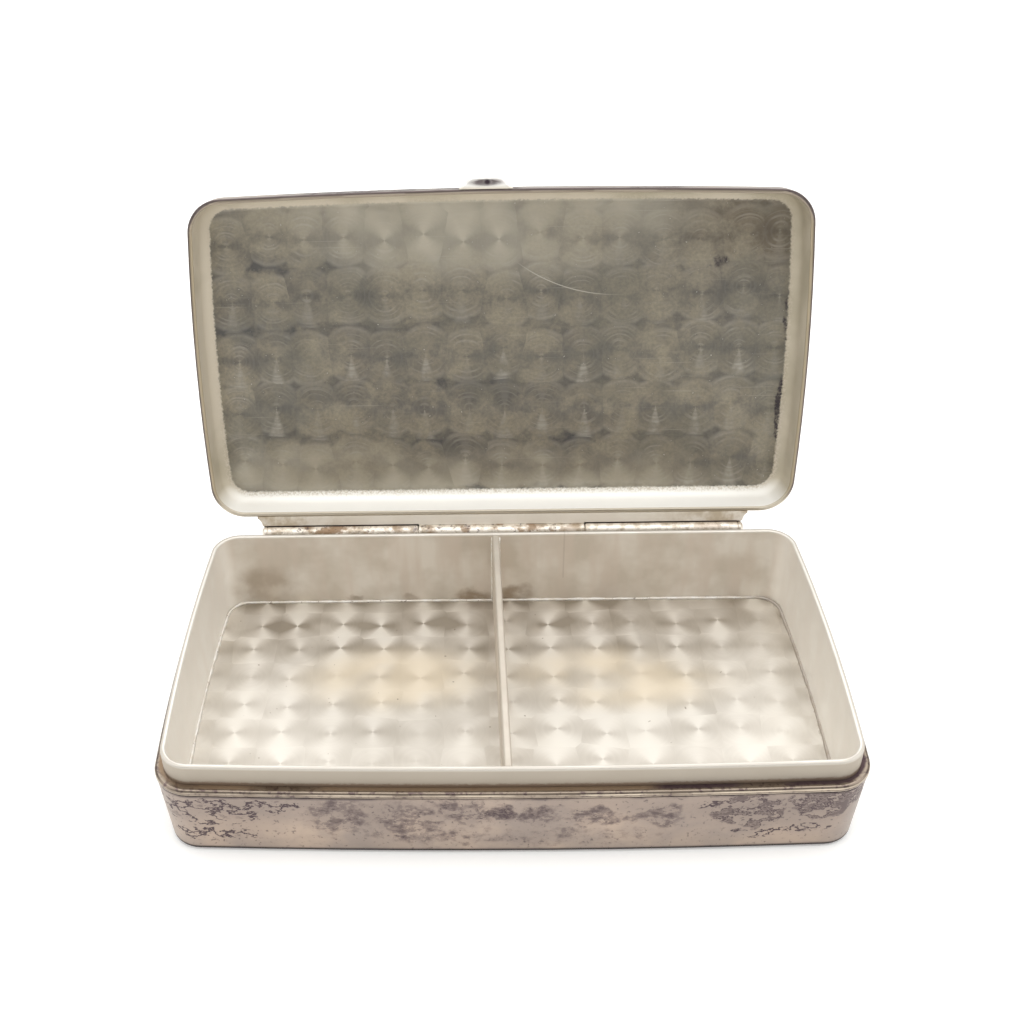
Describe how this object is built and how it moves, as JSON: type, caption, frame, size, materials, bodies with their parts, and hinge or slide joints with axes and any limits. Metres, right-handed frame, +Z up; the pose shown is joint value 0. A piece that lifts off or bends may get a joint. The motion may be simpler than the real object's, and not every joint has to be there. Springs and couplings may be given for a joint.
{
  "type": "stamp box",
  "caption": "Shallow rectangular hinged stamp box in aged silver, with a divided interior, a raised inner rim, a ledge bead and a coved lid that stands open on its hinge stop.",
  "frame": {"origin": "middle of the underside of the base, on the surface it stands on", "axes": "+X to the right along the hinge, +Y to the back, +Z up"},
  "size_m": [0.09, 0.07, 0.0637],
  "materials": {
    "outer_silver": "aged silver, buffed, with grey-purple tarnish",
    "liner_silver": "aged silver, satin",
    "floor_silver": "aged silver, ground with overlapping round spots",
    "lid_silver": "aged silver, spotted inside, buffed outside",
    "hinge_silver": "aged silver, buffed, dirt in the joints"
  },
  "bodies": {
    "base": {"base_shell": "outer_silver", "ledge_wire": "outer_silver", "inner_rim": "liner_silver", "compartment_floor": "floor_silver", "divider": "liner_silver", "base_hinge_bearer": "hinge_silver", "base_knuckle_left": "hinge_silver", "base_knuckle_right": "hinge_silver", "hinge_pin": "hinge_silver", "hinge_plug_left": "hinge_silver", "hinge_plug_right": "hinge_silver"},
    "lid": {"lid_shell": "lid_silver", "lid_hinge_bearer": "hinge_silver", "lid_knuckle": "hinge_silver", "thumbpiece": "outer_silver"}
  },
  "joints": [
    {"name": "lid_hinge", "type": "hinge", "parent": "base", "child": "lid", "pos_m": [0, 0.0274, 0.01195], "axis": [1, 0, 0], "range_deg": [0, 104.7]}
  ]
}
